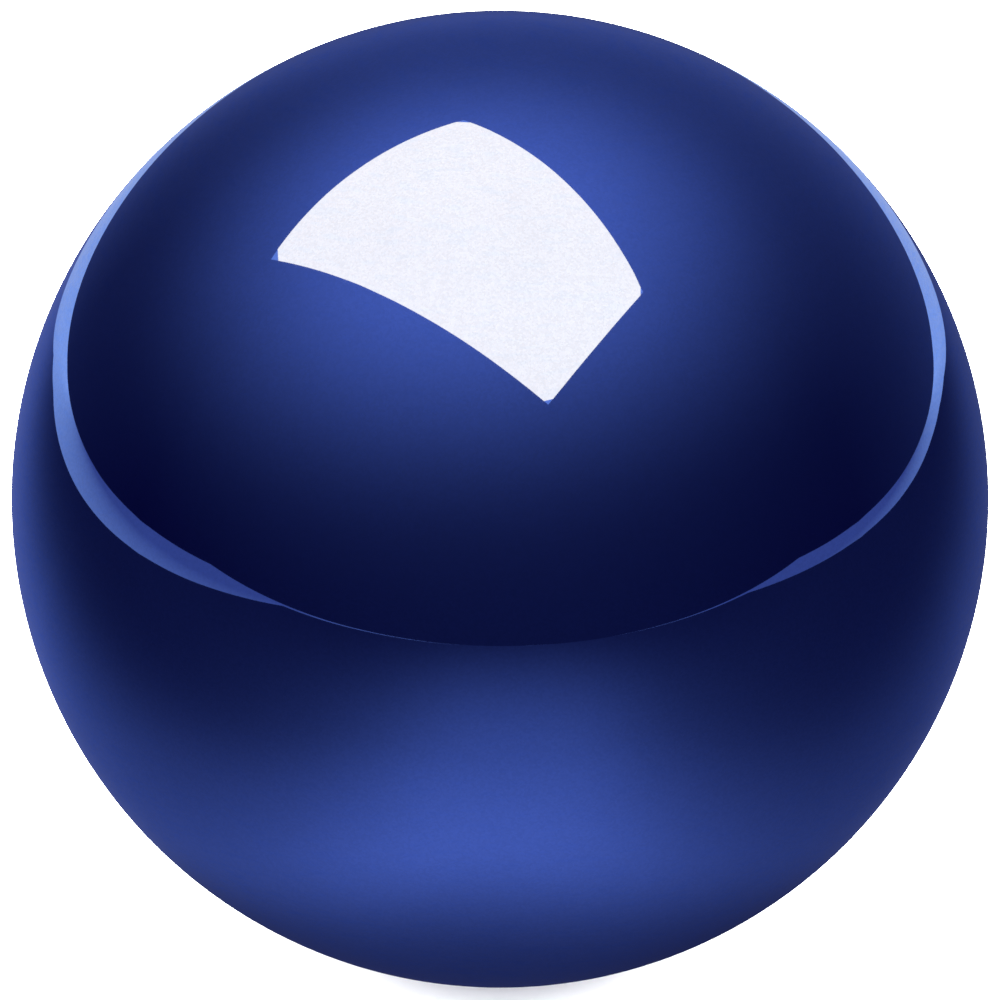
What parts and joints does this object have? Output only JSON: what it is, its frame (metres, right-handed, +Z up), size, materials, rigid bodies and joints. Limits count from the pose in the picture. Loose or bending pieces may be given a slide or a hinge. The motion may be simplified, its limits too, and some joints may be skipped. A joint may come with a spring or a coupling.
{
  "type": "croquet ball",
  "caption": "Smooth solid ball for croquet: a cork-and-resin core inside cemented half shells, under a pearl blue colour coat and a mirror-gloss clear coat.",
  "frame": {"origin": "centre of the ball", "axes": "+Z up through the top pole, square to the plane where the half shells meet; the ball looks the same about every axis through its centre"},
  "size_m": [0.092, 0.092, 0.092],
  "materials": {
    "cork_composition": "pressed cork granules in a dark resin binder, matt",
    "bonding_resin": "cured amber resin, satin",
    "moulded_shell": "moulded natural-colour plastic, faint flow marks, satin",
    "seam_cement": "set cement, dull",
    "primer": "sanded grey primer, dead matt",
    "pearl_blue": "pearl blue colour coat with fine flake, satin",
    "clear_gloss": "thick polished clear coat over the blue, mirror gloss"
  },
  "bodies": {
    "root": {"cork_resin_core": "cork_composition", "core_bond": "bonding_resin", "lower_half_shell": "moulded_shell", "upper_half_shell": "moulded_shell", "seam_cement": "seam_cement", "primer_coat": "primer", "pearl_colour_coat": "pearl_blue", "clear_gloss_coat": "clear_gloss"}
  },
  "joints": []
}
